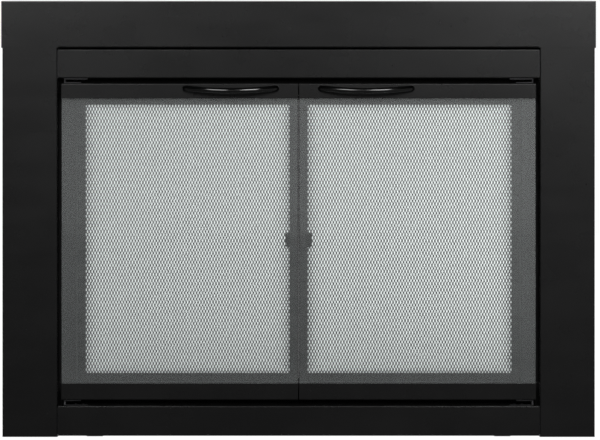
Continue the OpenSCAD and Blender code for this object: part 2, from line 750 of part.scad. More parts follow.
module glass(side) color("#9fb4b2", 0.35) placed() on_side(side)
    block([door_in + pane_side, pane_y, pane_z0], [door_out - pane_side, pane_y + glass_t, pane_z1]);
module left_glass() { glass("left"); }
module right_glass() { glass("right"); }

// Folded channel over the top of the pane: face, top and a shorter rear lip
module door_top_rail(side) color(paint) placed() on_side(side) difference() {
    along_x(door_in, door_out) bent_sheet([[door_y + half_t, door_z1 - door_top_rail_h],
        [door_y + half_t, door_z1 - half_t], [door_back - half_t, door_z1 - half_t],
        [door_back - half_t, door_z1 - door_top_rail_h + rear_lip_drop]]);
    for (i = [-1, 1])
        pin_y_way(handle_x + i * handle_half, door_y - 1, door_y + 3, handle_z, screw_r + screw_gap);
    for (x = clamp_screw_x)
        pin_y_way(x, door_back - 3, door_back + 1, top_clamp_z, screw_r + screw_gap);
    pin_z_way(pin_x, pin_y, door_z1 - 3, door_z1 + 1, pin_r + screw_gap);
}
module left_door_top_rail() { door_top_rail("left"); }
module right_door_top_rail() { door_top_rail("right"); }

// Folded channel under the pane
module door_bottom_rail(side) color(paint) placed() on_side(side) difference() {
    along_x(door_in, door_out) bent_sheet([[door_y + half_t, door_z0 + door_bottom_rail_h],
        [door_y + half_t, door_z0 + half_t], [door_back - half_t, door_z0 + half_t],
        [door_back - half_t, door_z0 + door_bottom_rail_h - rear_lip_short]]);
    for (x = clamp_screw_x)
        pin_y_way(x, door_back - 3, door_back + 1, bottom_clamp_z, screw_r + screw_gap);
    pin_z_way(pin_x, pin_y, door_z0 - 1, door_z0 + 3, pin_r + 0.6);
}
module left_door_bottom_rail() { door_bottom_rail("left"); }
module right_door_bottom_rail() { door_bottom_rail("right"); }

// U-section strips between the pane and the two rails
module gasket_profile(edge_z, way) {
    y0 = door_y + sheet_t + seat;
    y1 = door_back - sheet_t - seat;
    base = edge_z + way * gasket_base;
    lip = edge_z - way * gasket_side;
    difference() {
        polygon([[y0, lip], [y0, base - way * gasket_bevel], [y0 + gasket_bevel, base],
            [y1 - gasket_bevel, base], [y1, base - way * gasket_bevel], [y1, lip]]);
        patch([pane_y - seat, min(edge_z + way * seat, lip - way)],
            [pane_y + glass_t + seat, max(edge_z + way * seat, lip - way)]);
    }
}
module glass_gaskets(side) color("#3b3b3b") placed() on_side(side) {
    along_x(door_in + 2, door_out - 2) gasket_profile(pane_z1, 1);
    difference() {
        along_x(door_in + 2, door_out - 2) gasket_profile(pane_z0, -1);
        pin_z_way(pin_x, pin_y, door_z0 - 1, door_z0 + 6, pin_r + 0.6);
    }
}
module left_glass_gaskets() { glass_gaskets("left"); }
module right_glass_gaskets() { glass_gaskets("right"); }

module clamp_screws(side) color(zinc) placed() on_side(side)
    for (x = clamp_screw_x, z = [top_clamp_z, bottom_clamp_z])
        rear_screw(x, door_back, door_back - sheet_t, z);
module left_clamp_screws() { clamp_screws("left"); }
module right_clamp_screws() { clamp_screws("right"); }

// Bow handle: an oval section carried round half an ellipse, tall at the feet and slim in the
// middle, which hangs a little lower
function bow_height(a) = (handle_mid_h + (handle_foot_h - handle_mid_h) * pow(abs(cos(a)), 1.6)) / 2;
function bow_point(a, turn) = let (
        out = handle_reach - handle_deep / 2,
        across = unit([-cos(a) / handle_half, -sin(a) / out]),
        ring = handle_deep / 2 * cos(turn))
    [-handle_half * cos(a) + across.x * ring,
     door_y - seat - out * sin(a) + across.y * ring,
     handle_z - handle_sag * sin(a) + bow_height(a) * sin(turn)];
module handle(side) color(black_gloss) placed() on_side(side) difference() {
    points = [for (i = [0 : handle_steps], j = [0 : handle_sides - 1])
        bow_point(i * 180 / handle_steps, j * 360 / handle_sides)];
    walls = [for (i = [0 : handle_steps - 1], j = [0 : handle_sides - 1]) let (
            k = (j + 1) % handle_sides, a = i * handle_sides)
        [a + j, a + k, a + handle_sides + k, a + handle_sides + j]];
    first = [for (j = [0 : handle_sides - 1]) handle_sides - 1 - j];
    last = [for (j = [0 : handle_sides - 1]) handle_steps * handle_sides + j];
    translate([handle_x, 0, 0]) polyhedron(points = points, faces = concat(walls, [first, last]));
    for (i = [-1, 1])
        pin_y_way(handle_x + i * handle_half, door_y - 9, door_y + 1, handle_z, screw_r + screw_gap);
}
module left_handle() { handle("left"); }
module right_handle() { handle("right"); }

module handle_screws(side) color(zinc) placed() on_side(side) for (i = [-1, 1])
    rear_screw(handle_x + i * handle_half, door_y + sheet_t, door_y - 8.5, handle_z);
module left_handle_screws() { handle_screws("left"); }
module right_handle_screws() { handle_screws("right"); }

// Plates on the door's rails: an upper pin, and a lower plate drilled for the frame's pin
module door_pivots(side) color(zinc) placed() on_side(side) {
    along_z(door_z1 + seat, door_z1 + seat + plate_t) pivot_outline(door_plate_l);
    pin_z_way(pin_x, pin_y, door_z1 - sheet_t - 2, top_rail_z0 + 6, pin_r);
    difference() {
        along_z(door_z0 - seat - plate_t + 0.1, door_z0 - seat) pivot_outline(door_plate_l);
        pin_z_way(pin_x, pin_y, door_z0 - 5, door_z0 + 1, pin_r + pin_gap);
    }
}
module left_door_pivots() { door_pivots("left"); }
module right_door_pivots() { door_pivots("right"); }

// ---------------------------------------------------------------- mesh gates

// Face with a round-cornered window and a flange folded back all round
module gate_frame(side) color(liner_paint) placed() on_side(side) difference() {
    block([gate_in, gate_y, gate_z0], [gate_out, gate_back, gate_z1]);
    block([gate_in + gate_t, gate_y + gate_t, gate_z0 + gate_t],
        [gate_out - gate_t, gate_back + 1, gate_z1 - gate_t]);
    along_y(gate_y - 1, gate_y + gate_t + 1)
        round_patch([window_x0, window_z0], [window_x1, window_z1], window_r);
    pin_z_way(gate_pin_x, gate_pin_y, gate_z0 - 1, gate_z0 + gate_t + 1, gate_pin_r + screw_gap);
    pin_z_way(gate_pin_x, gate_pin_y, gate_z1 - gate_t - 1, gate_z1 + 1, gate_pin_r + screw_gap);
    for (z = rivet_z)
        pin_y_way(rivet_x, gate_y - 1, gate_y + gate_t + 1, z, rivet_r + screw_gap);
}
module left_gate_frame() { gate_frame("left"); }
module right_gate_frame() { gate_frame("right"); }

// Expanded mesh: strands that lean both ways cross to make the diamonds. A strand is a slanting
// band, clipped to the sheet: its two edges are cut off where they meet the sheet's sides
lean = diamond_w / diamond_h;
strand_half = strand_w / 2 * sqrt(1 + lean * lean);
strand_starts = [for (i = [-floor(lean * mesh_h / diamond_w) : floor(mesh_w / diamond_w)])
    let (x = i * diamond_w + diamond_w / 4)
    if (x + lean * mesh_h > 2 * strand_half && x < mesh_w - 2 * strand_half) x];
function strand(x) = let (
        right = x + strand_half, left = x - strand_half,
        low_right = right < 0 ? [0, -right / lean] : [min(right, mesh_w), 0],
        low_left = left < 0 ? [0, -left / lean] : [left, 0],
        top_right = right + lean * mesh_h > mesh_w ? [mesh_w, (mesh_w - right) / lean]
            : [right + lean * mesh_h, mesh_h],
        top_left = left + lean * mesh_h > mesh_w ? [mesh_w, (mesh_w - left) / lean]
            : [left + lean * mesh_h, mesh_h],
        foot = left < 0 && right > 0 ? [[0, 0]] : [],
        crown = left + lean * mesh_h < mesh_w && right + lean * mesh_h > mesh_w ? [[mesh_w, mesh_h]] : [])
    concat(foot, [low_right, top_right], crown, [top_left, low_left]);
module strands() { for (x = strand_starts) polygon(strand(x)); }
module mesh(side) color("#3d3e3f") placed() on_side(side) {
    translate([mesh_x0, 0, mesh_z0]) along_y(mesh_y, mesh_y + strand_t) strands();
    translate([mesh_x1, 0, mesh_z0]) mirror([1, 0, 0])
        along_y(mesh_y + strand_t + layer_gap, mesh_y + 2 * strand_t + layer_gap) strands();
}
module left_mesh() { mesh("left"); }
module right_mesh() { mesh("right"); }

// Flat ring that holds the mesh against the frame
module mesh_retainer(side) color(liner_paint) placed() on_side(side)
    along_y(retainer_y, retainer_y + gate_t) difference() {
        patch([window_x0 - retainer_w, window_z0 - retainer_w],
            [window_x1 + retainer_w, window_z1 + retainer_w]);
        round_patch([window_x0, window_z0], [window_x1, window_z1], window_r);
    }
module left_mesh_retainer() { mesh_retainer("left"); }
module right_mesh_retainer() { mesh_retainer("right"); }

// Plate on the meeting member, its flap bent forward over the mesh, with clipped corners
module gate_tab(side) color(liner_paint) placed() on_side(side) {
    y = gate_y - seat;
    x0 = gate_in + tab_inset;
    x1 = window_x0 - tab_inset;
    x2 = x1 + tab_flap;
    difference() {
        along_z(tab_z - tab_h / 2, tab_z + tab_h / 2)
            polygon([[x0, y], [x0, y - tab_t], [x1, y - tab_t], [x2, y - tab_t - tab_rise],
                [x2 + 0.6, y - tab_rise], [x1 + 0.6, y]]);
        for (i = [0, 1]) translate([x2 + 1, 0, tab_z]) mirror([0, 0, i])
            along_y(y - tab_t - tab_rise - 1, y + 1) polygon([[0.1, tab_h / 2 + 0.1],
                [-tab_corner - 1, tab_h / 2 + 0.1], [0.1, tab_h / 2 - tab_corner - 1]]);
        for (z = rivet_z) pin_y_way(rivet_x, y - tab_t - 1, y + 1, z, rivet_r + screw_gap);
    }
}
module left_gate_tab() { gate_tab("left"); }
module right_gate_tab() { gate_tab("right"); }

module tab_rivets(side) color(liner_paint) placed() on_side(side) for (z = rivet_z) {
    front = gate_y - 2 * seat - tab_t;
    pin_y_way(rivet_x, front, gate_y + gate_t + seat, z, rivet_r);
    back = gate_y + gate_t + seat;
    pin_y_way(rivet_x, front - rivet_head_h, front, z, rivet_head_r);
    pin_y_way(rivet_x, back, back + rivet_head_h, z, rivet_head_r);
}
module left_tab_rivets() { tab_rivets("left"); }
module right_tab_rivets() { tab_rivets("right"); }

// Blocks in the outer corners of a gate frame, each with the pin that turns in the head or sill
module gate_pins(side) color(zinc) placed() on_side(side) {
    x0 = window_x1 + retainer_w + 0.3;
    x1 = gate_out - gate_t - seat;
    y0 = gate_y + gate_t + seat;
    for (low = [gate_z0 + gate_t + seat, gate_z1 - gate_t - seat - gate_block])
        block([x0, y0, low], [x1, gate_back - 0.3, low + gate_block]);
    pin_z_way(gate_pin_x, gate_pin_y, sill_z - 5, gate_z0 + gate_t + 1, gate_pin_r);
    pin_z_way(gate_pin_x, gate_pin_y, gate_z1 - gate_t - 1, head_z + 5, gate_pin_r);
}
module left_gate_pins() { gate_pins("left"); }
module right_gate_pins() { gate_pins("right"); }

// ---------------------------------------------------------------- the nodes

header();
left_stile();
right_stile();
top_rail();
bottom_rail();
head_liner();
sill();
left_jamb();
right_jamb();
corner_brackets();
liner_screws();
stile_screws();
jamb_screws();
header_screws();
top_pivot_plates();
bottom_pivot_plates();
pivot_screws();
door_catches();
catch_magnets();
gate_catches();
floor_brackets();
lintel_brackets();
bracket_screws();
clamp_bolts();
clamp_nuts();
damper_guides();
damper_shutter();
damper_knob();
left_glass();
left_door_top_rail();
left_door_bottom_rail();
left_glass_gaskets();
left_clamp_screws();
left_handle();
left_handle_screws();
left_door_pivots();
right_glass();
right_door_top_rail();
right_door_bottom_rail();
right_glass_gaskets();
right_clamp_screws();
right_handle();
right_handle_screws();
right_door_pivots();
left_gate_frame();
left_mesh();
left_mesh_retainer();
left_gate_tab();
left_tab_rivets();
left_gate_pins();
right_gate_frame();
right_mesh();
right_mesh_retainer();
right_gate_tab();
right_tab_rivets();
right_gate_pins();
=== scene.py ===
"""Looks of a fireplace door set: black powder-coated sheet steel, two glass doors with bow handles,
two expanded-mesh gates behind them. Everything is in metres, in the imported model's own frame."""

import math

import bmesh
import bpy
import numpy as np
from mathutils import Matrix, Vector


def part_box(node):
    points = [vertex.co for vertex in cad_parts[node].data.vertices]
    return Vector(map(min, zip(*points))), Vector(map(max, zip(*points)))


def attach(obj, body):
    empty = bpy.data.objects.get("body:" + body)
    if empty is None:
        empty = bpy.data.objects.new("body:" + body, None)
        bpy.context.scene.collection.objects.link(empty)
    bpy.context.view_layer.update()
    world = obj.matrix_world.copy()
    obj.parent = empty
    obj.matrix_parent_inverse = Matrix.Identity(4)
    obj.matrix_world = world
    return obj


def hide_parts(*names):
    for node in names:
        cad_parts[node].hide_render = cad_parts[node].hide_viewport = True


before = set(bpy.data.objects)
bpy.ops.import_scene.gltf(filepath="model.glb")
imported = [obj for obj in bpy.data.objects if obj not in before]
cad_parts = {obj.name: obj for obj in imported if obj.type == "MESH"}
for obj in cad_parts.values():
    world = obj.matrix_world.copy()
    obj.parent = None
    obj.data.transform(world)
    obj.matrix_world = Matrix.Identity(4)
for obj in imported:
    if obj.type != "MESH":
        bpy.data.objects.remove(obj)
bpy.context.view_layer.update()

MM = 0.001
SIDES = ("left", "right")

# Camera: square on to the header's face, at a distance where its 1.105 m fill the photograph's frame
VIEW_DISTANCE = 9.0
VIEW_WIDTH = 1.1148                 # metres across the frame at the header's face
VIEW_X = 0.0026
VIEW_Z = 0.4032
VIEW_END = 500.0                    # beyond the floor's far edge
SENSOR = 36.0

# Sheet metal
SHEET_T = 1.5 * MM
FLAT_ANGLE = math.radians(0.4)      # faces that meet at less than this are made one
JOIN = 1e-6                         # points nearer than this are one

# Rounded edges
EDGE_ANGLE = math.radians(35)       # where faces meet at more than this
SHEET_ROUND = 0.22 * MM
JAMB_ROUND = 0.7 * MM
GATE_ROUND = 0.45 * MM
SHUTTER_ROUND = 0.15 * MM
PANE_ROUND = 0.4 * MM
GASKET_ROUND = 0.3 * MM
PIN_ROUND = 0.3 * MM
RIVET_ROUND = 0.35 * MM
HOUSING_ROUND = 0.6 * MM
MAGNET_ROUND = 0.1 * MM

# Mesh gates
DIAMOND_H = 11.43 * MM
STRAND_PITCH = 2.785 * MM           # half a diamond's width
STRAND_W = 1.53 * MM
STRAND_T = 0.75 * MM
STRAND_TURN = math.radians(14)
BOND_H = 2.3 * MM                   # how long two neighbouring strands run side by side
BOND_PINCH = 0.9                    # distance of two strands' middles at a bond, in strand widths
MESH_HELD = 5 * MM                  # how much of its edge lies in the gate's frame
# The mesh opens less where it is clamped, and the extra strand width there also darkens its rim as
# painted shade of the frame
RIM_SHADE_GAIN = 0.95                     # how much wider a strand is at that frame, where it opens less
RIM_SHADE_REACH = (8.5 * MM, 4.5 * MM)    # how far in it does so, across the strands and along them

# Bow handles
HANDLE_DEEP = 9 * MM
HANDLE_FOOT_H = 11 * MM
HANDLE_MID_H = 10 * MM
HANDLE_TAPER = 1.6                  # the power with which the foot's height becomes the middle's
HANDLE_SAG = 5 * MM
HANDLE_RAISE = 2 * MM

# Lips on the rear edges of the liner
LIP_W = 6 * MM
LIP_GAP = 0.5 * MM

# Fasteners and the knob
THREAD_PITCH = 1.0 * MM
THREAD_DEPTH = 0.22 * MM
BOLT_PITCH = 1.25 * MM
BOLT_DEPTH = 0.45 * MM
NUT_DEPTH = 0.3 * MM
RECESS_ARM = 0.546                  # an arm's length, as a share of the head's radius
RECESS_HALF = 0.16                  # half its width, likewise
RECESS_DEPTH = 0.55                 # of the head's height
KNOB_RIBS = 20
RIB_DEPTH = 0.18 * MM

# Gloss of the liner's coat behind the panes; elsewhere the coat is dull, as painted shade in the gaps
# and recesses around the doors and gates
UNSHADED_GLOSS = 0.42
UNSHADED_DEEP = (1 * MM, 4 * MM)        # the depth over which it ends
UNSHADED_ABOVE = 28 * MM                # it starts so far above a pane's lower edge
UNSHADED_BELOW = 4 * MM                 # and starts to go so far below its upper edge
UNSHADED_FADE = 2 * MM

# Studio: radiance of its parts, where they lie as directions, and the panels' power
SIDE_ENDS = (-0.07, 0.07)           # from left to right
BACK_LIGHT = 0.93
BACK_RISE = (-0.02, 0.3)            # where the ground behind comes up
BACK_ACROSS = (0.90, 1.15)          # its brightness from left to right
ROOM_LIGHT = 0.02
WALL_HALF = (0.053, 0.04)           # half width and half height
WALL_SOFT = 1.12                    # how much farther its edge has faded out
WALL_RISE = (-0.035, 0.01)          # where it rises from dark to bright
WALL_ACROSS = (0.46, 0.83)          # its brightness from left to right
PANEL_W = 1.2
PANEL_H = 1.57
PANEL_PLACE = (1.02, -3.97, 2.01)   # the right one's; the left one mirrors it
PANEL_AIM = (0, 0, 0.4)
LEFT_WATTS = 62
RIGHT_WATTS = 91

# Floor: its glow far off, how much less that is at one metre, and the least; then the ends of its
# change from left to right, and its brightness at them
FLOOR_BEHIND = ((0.95, 0.98, 0.3), SIDE_ENDS, (0.885, 1.15))
FLOOR_BEFORE = ((1.0, 3.0, 0.2), (-0.01, 0.07), (0.25, 0.64))
FLOOR_MEET = (-0.5, 0.5)            # the depth over which one becomes the other
FLOOR_HALF = 120.0
FLOOR_TONE = (0.1, 0.1, 0.1)


# ---------------------------------------------------------------- meshes

def mesh_of(name, points, faces, smooth=True):
    """A mesh from an array of points and a list of faces."""
    mesh = bpy.data.meshes.new(name)
    mesh.from_pydata(points, [], faces)
    mesh.update()
    mesh.polygons.foreach_set("use_smooth", np.full(len(mesh.polygons), smooth))
    return mesh


def piece(name, mesh, body, slot, material, *nodes):
    """A finished piece that rides on a body, takes the given material as its finish and stands for CAD
    nodes. Its slot is not used.
    """
    obj = bpy.data.objects.new(name, mesh)
    bpy.context.scene.collection.objects.link(obj)
    mesh.materials.append(material)
    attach(obj, body)
    if nodes:
        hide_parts(*nodes)
    return obj


def joined_points(node):
    """A CAD node's points with the doubles joined, and its triangles, as two arrays."""
    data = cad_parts[node].data
    points = np.zeros(len(data.vertices) * 3)
    data.vertices.foreach_get("co", points)
    corners = np.zeros(len(data.loops), int)
    data.loops.foreach_get("vertex_index", corners)
    points = points.reshape(-1, 3)
    _, first, place = np.unique(np.round(points / JOIN).astype(int), axis=0,
                                return_index=True, return_inverse=True)
    triangles = place.reshape(-1)[corners].reshape(-1, 3)
    whole = ((triangles[:, 0] != triangles[:, 1]) & (triangles[:, 1] != triangles[:, 2])
             & (triangles[:, 2] != triangles[:, 0]))
    return points[first], triangles[whole]


def folded(node, body, slot, material, edge=SHEET_ROUND, smooth=True):
    """A CAD node's shape with whole flat faces and slightly rounded edges, as a finished piece."""
    points, triangles = joined_points(node)
    mesh = mesh_of(node + "_formed", points, triangles)
    shape = bmesh.new()
    shape.from_mesh(mesh)
    bmesh.ops.dissolve_limit(shape, angle_limit=FLAT_ANGLE, verts=shape.verts,
                             edges=shape.edges, use_dissolve_boundaries=False)
    shape.to_mesh(mesh)
    shape.free()
    mesh.polygons.foreach_set("use_smooth", np.full(len(mesh.polygons), smooth))
    obj = piece(node + "_formed", mesh, body, slot, material, node)
    bevel = obj.modifiers.new("edges", "BEVEL")
    bevel.width = edge
    bevel.segments = 2
    bevel.limit_method = "ANGLE"
    bevel.angle_limit = EDGE_ANGLE
    if smooth:
        even = obj.modifiers.new("even", "WEIGHTED_NORMAL")
        even.weight = 80
    return obj


def angles(around):
    """The angles of so many even steps of a full turn."""
    return np.arange(around) * 2 * math.pi / around


def grid_faces(rings, around, closed=False):
    """The quads of a tube of rings, each of the same number of points, as an array. A closed tube's
    last ring is joined to its first."""
    ring = np.arange(rings if closed else rings - 1)[:, None]
    step = np.arange(around)[None, :]
    here, there = ring * around, (ring + 1) % rings * around
    after = (step + 1) % around
    return np.stack([here + step, here + after, there + after, there + step], axis=-1).reshape(-1, 4)


def turned(along, out, angle=None):
    """A turned shape about Z: point (k, j) lies at height along[k, j], at distance out[k, j] from
    the axis and at angle[k, j]. The rings run up Z, and a middle point closes the last ring at each
    end. Returns points and faces."""
    rings, around = out.shape
    if angle is None:
        angle = np.broadcast_to(angles(around), out.shape)
    points = np.stack([out * np.cos(angle), out * np.sin(angle),
                       np.broadcast_to(along, out.shape)], axis=-1).reshape(-1, 3)
    top = (rings - 1) * around
    step = np.arange(around)
    after = (step + 1) % around
    low, high = np.full(around, len(points)), np.full(around, len(points) + 1)
    faces = (grid_faces(rings, around).tolist() + np.stack([low, after, step], -1).tolist()
             + np.stack([high, top + step, top + after], -1).tolist())
    ends = [[0, 0, np.mean(points[:around, 2])], [0, 0, np.mean(points[top:, 2])]]
    return np.concatenate([points, ends]), faces


def stood(points, place, way):
    """Points about Z carried to a place, with Z turned to the unit vector way."""
    turn = Vector((0, 0, 1)).rotation_difference(Vector(way)).to_matrix()
    return points @ np.array(turn).T + np.array(place)


def together(parts):
    """Several pairs of points and faces as one."""
    points, faces, start = [], [], 0
    for some, several in parts:
        points.append(some)
        faces.extend([start + corner for corner in face] for face in several)
        start += len(some)
    return np.concatenate(points), faces


def solids(node):
    """The points of each separate solid of a CAD node, as a list of arrays."""
    points, triangles = joined_points(node)
    group = np.arange(len(points))
    while True:
        least = group[triangles].min(1)
        after = group.copy()
        for corner in range(3):
            np.minimum.at(after, triangles[:, corner], least)
        after = after[after]
        if (after == group).all():
            break
        group = after
    return [points[group == g] for g in np.unique(group)]


def pin_facts(points):
    """Of a pin with a head: its axis, the way to the head's end, and its lengths and radii.
    Returns (tip, way, length, head_h, shank_r, head_r)."""
    low, high = points.min(0), points.max(0)
    size = high - low
    axis = int(np.argmin([abs(size[(a + 1) % 3] - size[(a + 2) % 3]) for a in range(3)]))
    middle = (low + high) / 2
    rest = [a for a in range(3) if a != axis]
    radius = np.hypot(*(points[:, rest] - middle[rest]).T)
    head_r, shank_r = radius.max(), radius[radius > radius.max() * 0.2].min()
    head = points[radius > (head_r + shank_r) / 2][:, axis]
    up = head.mean() > middle[axis]
    way = np.zeros(3)
    way[axis] = 1 if up else -1
    tip = middle.copy()
    tip[axis] = low[axis] if up else high[axis]
    return tip, way, size[axis], np.ptp(head), shank_r, head_r


# ---------------------------------------------------------------- new shapes

def expanded_mesh(node):
    """Slit and stretched sheet. Strand i runs up the gate at x = pitch (i + 1/2) + lean wave(z), where
    wave goes straight between -1 and 1 and stays there along a bond, and every second strand has
    the other sign, so that neighbours meet at the bonds. Its section is a bar, a little turned,
    whose width grows by the factor 1 + RIM_SHADE_GAIN exp(-min(dx / RIM_SHADE_REACH[0], dz / RIM_SHADE_REACH[1])) at
    the distances dx and dz from the clamped edges."""
    low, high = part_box(node)
    count = round((high.x - low.x) / STRAND_PITCH)
    pitch = (high.x - low.x) / count
    height = high.z - low.z
    bonds = np.arange(math.ceil(2 * height / DIAMOND_H) + 1)
    turns = bonds[:, None] * DIAMOND_H / 2 + np.array([-1, 1]) * BOND_H / 2
    z = np.clip(turns.reshape(-1), 0, height)
    sway = np.repeat(np.where(bonds % 2 == 0, 1.0, -1.0), 2)
    keep = np.concatenate([[True], np.diff(z) > 0])
    keep &= (np.abs(z - height / 2) <= height / 2 - MESH_HELD) | (z == 0) | (z == height)
    z, sway = z[keep], sway[keep]
    lean = (pitch - BOND_PINCH * STRAND_W) / 2
    sign = np.where(np.arange(count) % 2 == 0, 1.0, -1.0)
    middle = low.x + pitch * (np.arange(count) + 0.5)[:, None] + lean * sign[:, None] * sway[None, :]
    # strands widen near the frame: partly the mesh opening less where it is clamped, partly painted
    # shade of the frame on the mesh's rim
    inset = np.minimum((np.minimum(middle - low.x, high.x - middle) - MESH_HELD) / RIM_SHADE_REACH[0],
                       (np.minimum(z, height - z) - MESH_HELD) / RIM_SHADE_REACH[1])
    wide = 1 + RIM_SHADE_GAIN * np.exp(-np.maximum(inset, 0))
    across = np.array([-1, 1, 1, -1]) * STRAND_W / 2 * wide[:, :, None]
    deep = np.array([-1, -1, 1, 1]) * STRAND_T / 2
    points = np.zeros((count, len(z), 4, 3))
    points[..., 0] = middle[:, :, None] + across * math.cos(STRAND_TURN) - deep * math.sin(STRAND_TURN)
    points[..., 1] = (low.y + high.y) / 2 + across * math.sin(STRAND_TURN) + deep * math.cos(STRAND_TURN)
    points[..., 2] = (low.z + z)[None, :, None]
    tube = grid_faces(len(z), 4)
    ends = np.array([[3, 2, 1, 0], [0, 1, 2, 3]]) + [[0], [(len(z) - 1) * 4]]
    one = np.concatenate([tube, ends])
    faces = (one[None] + (np.arange(count) * len(z) * 4)[:, None, None]).reshape(-1, 4)
    return points.reshape(-1, 3), faces


def bow_handle(node):
    """An oval section of half depth d carried round half an ellipse: at angle a its middle lies at
    x = -half cos a, out = reach sin a, and hangs sag sin^2 a lower; its half height goes from the
    foot's to the middle's with |cos a| to a power."""
    low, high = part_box(node)
    steps, around = 112, 40
    a = np.linspace(0, math.pi, steps + 1)[:, None]
    turn = angles(around)[None, :]
    half = (high.x - low.x - HANDLE_DEEP) / 2
    reach = high.y - low.y - HANDLE_DEEP / 2
    across = np.stack([-np.cos(a) / half, -np.sin(a) / reach], -1)
    across /= np.linalg.norm(across, axis=-1, keepdims=True)
    ring = HANDLE_DEEP / 2 * np.cos(turn)
    tall = (HANDLE_MID_H + (HANDLE_FOOT_H - HANDLE_MID_H) * np.abs(np.cos(a)) ** HANDLE_TAPER) / 2
    x = (low.x + high.x) / 2 - half * np.cos(a) + across[..., 0] * ring
    y = high.y - reach * np.sin(a) + across[..., 1] * ring
    feet = high.z - HANDLE_FOOT_H / 2 + HANDLE_RAISE
    z = feet - HANDLE_SAG * np.sin(a) ** 2 + tall * np.sin(turn)
    points = np.stack([x, y, z], -1).reshape(-1, 3)
    faces = grid_faces(steps + 1, around).tolist()
    faces.append(list(range(around))[::-1])
    faces.append(list(range(steps * around, (steps + 1) * around)))
    return points, faces


def rear_lips():
    """Stiffening strips turned off the liner's rear edges, into its opening: each is a flat bar of
    the sheet's thickness, LIP_W wide, whose corners are the product of two ends along X, Y and Z.
    The lips of the sill and the head end at the jambs' lips."""
    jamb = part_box("right_jamb")
    back = jamb[1].y
    front = back - SHEET_T
    inner = jamb[0].x - LIP_W
    spans = [((-inner + LIP_GAP, inner - LIP_GAP), up) for up in
             ((jamb[0].z, jamb[0].z + LIP_W), (jamb[1].z - LIP_W, jamb[1].z))]
    spans += [(tuple(sorted((side * inner, side * (jamb[0].x + JOIN)))), (jamb[0].z, jamb[1].z))
              for side in (-1, 1)]
    faces = [[0, 1, 3, 2], [4, 6, 7, 5], [0, 4, 5, 1], [2, 3, 7, 6], [0, 2, 6, 4], [1, 5, 7, 3]]
    return together([(np.array(np.meshgrid(across, (front, back), up, indexing="ij"))
                      .reshape(3, -1).T, faces) for across, up in spans])


def thread(height, radius, around, pitch=THREAD_PITCH, depth=THREAD_DEPTH):
    """Rings of a threaded shank from height 0 up: its radius falls by depth at the valley of a
    helix, as a triangle wave of height / pitch - angle / turn."""
    rings = max(6, int(3 * height / pitch))
    along = np.linspace(0, height, rings)[:, None]
    share = (along / pitch - np.arange(around)[None, :] / around) % 1.0
    groove = depth * (1 - 2 * np.abs(share - 0.5))
    fade = np.clip(along / pitch, 0.3, 1)
    return np.broadcast_to(along, share.shape), (radius - groove) * fade ** 0.25


def pan_screw(points):
    """A pan-head screw: a threaded shank, a flat under the head, a rounded rim and a slightly
    domed crown with a cross recess, whose four arms keep their width from the middle out. In the
    crown's rings the angles crowd to the arms' edges, at asin(half width / radius)."""
    tip, way, length, head_h, shank_r, head_r = pin_facts(points)
    around = 24
    along, out = thread(length - head_h, shank_r, around)
    rim_s = length - head_h * (1 - np.array([0.0, 0.06, 0.5, 0.78, 0.93]))
    rim_r = head_r * np.array([0.97, 1.0, 1.0, 0.93, 0.82])
    crown_r = head_r * np.array([0.68, 0.56, 0.54, 0.4, 0.24, 0.2])
    edge = np.arcsin(np.minimum(0.68, RECESS_HALF * head_r / crown_r))[:, None]
    between = np.clip(math.pi / 4 + np.array([-0.06, 0.06]), edge * 1.1, math.pi / 2 - edge * 1.1)
    quarter = np.concatenate([edge * [-1.04, -1, 1, 1.04], between], axis=1)
    crown_a = np.concatenate([k * math.pi / 2 + quarter for k in range(4)], axis=1)
    arm_l = RECESS_ARM * head_r
    inside = np.tile([False, True, True, False, False, False], 4) & (crown_r <= arm_l)[:, None]
    dome = length - head_h * 0.07 * (crown_r / head_r / 0.82) ** 2
    sunk = RECESS_DEPTH * head_h * (1 - 0.35 * crown_r / arm_l)
    crown_s = dome[:, None] - np.where(inside, sunk[:, None], 0)
    crown_s[-1] = dome[-1] - sunk[-1]
    rings = len(along) + len(rim_s)
    angle = np.concatenate([np.tile(angles(around), (rings, 1)), crown_a])
    along = np.concatenate([along, np.tile(rim_s[:, None], (1, around)), crown_s])
    out = np.concatenate([out, np.tile(rim_r[:, None], (1, around)),
                          np.tile(crown_r[:, None], (1, around))])
    points, faces = turned(along, out, angle)
    return stood(points, tip, way), faces


def hexagon(corner_r, around):
    """A hexagon's angles, its apothem, its radius at each angle, apothem / cos(angle from the
    nearest flat), and how far its corners are turned off there, at 30 degrees."""
    theta = angles(around)
    apothem = corner_r * math.cos(math.pi / 6)
    six = apothem / np.cos((theta + math.pi / 6) % (math.pi / 3) - math.pi / 6)
    return theta, apothem, six, (six - apothem) * math.tan(math.pi / 6)


def hex_bolt(points):
    """A clamp bolt: a threaded shank and a hexagon head, whose corners are turned off."""
    tip, way, length, head_h, shank_r, head_r = pin_facts(points)
    around = 48
    along, out = thread(length - head_h, shank_r, around, BOLT_PITCH, BOLT_DEPTH)
    _, apothem, six, off = hexagon(head_r, around)
    under = length - head_h
    extra = [(under, six * 0.94), (under + off + 0.1 * MM, six), (length - off - 0.1 * MM, six),
             (length, apothem * 0.95), (length - 0.15 * MM, apothem * 0.3)]
    along = np.concatenate([along, [np.broadcast_to(s, around) for s, _ in extra]])
    out = np.concatenate([out, [np.broadcast_to(r, around) for _, r in extra]])
    points, faces = turned(along, out)
    return stood(points, tip, way), faces


